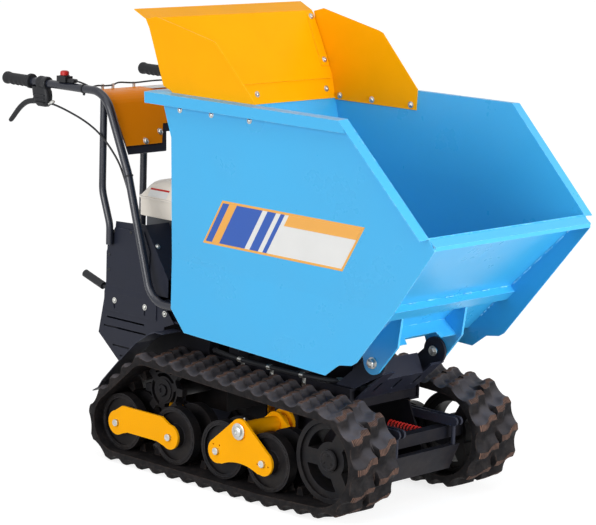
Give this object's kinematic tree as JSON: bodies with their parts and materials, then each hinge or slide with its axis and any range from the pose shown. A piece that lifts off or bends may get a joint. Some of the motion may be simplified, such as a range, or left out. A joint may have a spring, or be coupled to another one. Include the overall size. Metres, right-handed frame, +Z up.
{
  "type": "tracked site dumper",
  "caption": "Walk-behind rubber-tracked site dumper with a hydraulic forward-tipping skip, removable skip extension and rear handlebar controls.",
  "frame": {"origin": "on the ground under the middle of the overall box", "axes": "+X forward to the pouring lip, +Y to the machine's left, +Z up"},
  "size_m": [1.825, 0.7686, 1.3667],
  "materials": {
    "rubber": "moulded tread rubber",
    "cast": "painted cast iron",
    "yellow": "gloss powder coat",
    "black_paint": "satin powder coat",
    "red_paint": "gloss paint",
    "alloy": "die-cast",
    "cream": "gloss paint",
    "steel": "bare steel",
    "grip": "ribbed rubber",
    "plastic": "moulded",
    "orange": "gloss powder coat",
    "blue": "gloss powder coat",
    "rod_chrome": "hard chrome"
  },
  "bodies": {
    "chassis": {"track_right": "rubber", "track_left": "rubber", "rollers_right": "cast", "rollers_left": "cast", "idler_right": "cast", "idler_left": "cast", "sprocket_right": "cast", "sprocket_left": "cast", "bogies_right": "yellow", "bogies_left": "yellow", "front_beam": "black_paint", "guard_bars": "black_paint", "guard_pillars": "black_paint", "chassis_frame": "black_paint", "belly_pan": "black_paint", "pivot_stand": "black_paint", "engine_deck": "black_paint", "rear_panel": "black_paint", "console_frame": "black_paint", "console_posts": "black_paint", "side_panel_right": "black_paint", "side_panel_left": "black_paint", "guard_right": "black_paint", "guard_left": "black_paint", "handle_tube_right": "black_paint", "handle_tube_left": "black_paint", "tension_springs": "red_paint", "rest_pads": "rubber", "cable_right": "plastic", "cable_left": "plastic", "transmission": "cast", "engine_block": "alloy", "fuel_tank": "cream", "muffler": "steel", "grip_right": "grip", "grip_left": "grip", "control_lever_right": "plastic", "control_lever_left": "plastic", "stop_switch": "plastic", "hand_lever": "plastic", "dash_panel": "orange"},
    "skip": {"skip_side_right": "blue", "skip_side_left": "blue", "skip_floor": "blue", "skip_rear_wall": "blue", "skip_front_plate": "blue", "skip_brackets": "blue", "extension_rear": "yellow", "extension_wing_right": "yellow", "extension_wing_left": "yellow"},
    "barrel": {"cylinder_barrel": "black_paint"},
    "rod": {"cylinder_rod": "rod_chrome"}
  },
  "joints": [
    {"name": "skip_tip", "type": "hinge", "parent": "chassis", "child": "skip", "pos_m": [0.5335, 0, 0.428], "axis": [0, 1, 0], "range_deg": [0, 75]},
    {"name": "barrel_swing", "type": "hinge", "parent": "chassis", "child": "barrel", "pos_m": [0.3205, 0, 0.152], "axis": [0, 1, 0], "range_deg": [0, 12]},
    {"name": "rod_extend", "type": "slide", "parent": "barrel", "child": "rod", "axis": [0.2166, 0, 0.9763], "range_m": [0, 0.172]}
  ],
  "couplings": [
    {"joint": "barrel_swing", "follows": "skip_tip", "ratio": 0.1435},
    {"joint": "rod_extend", "follows": "skip_tip", "m_per_rad": 0.1295}
  ]
}
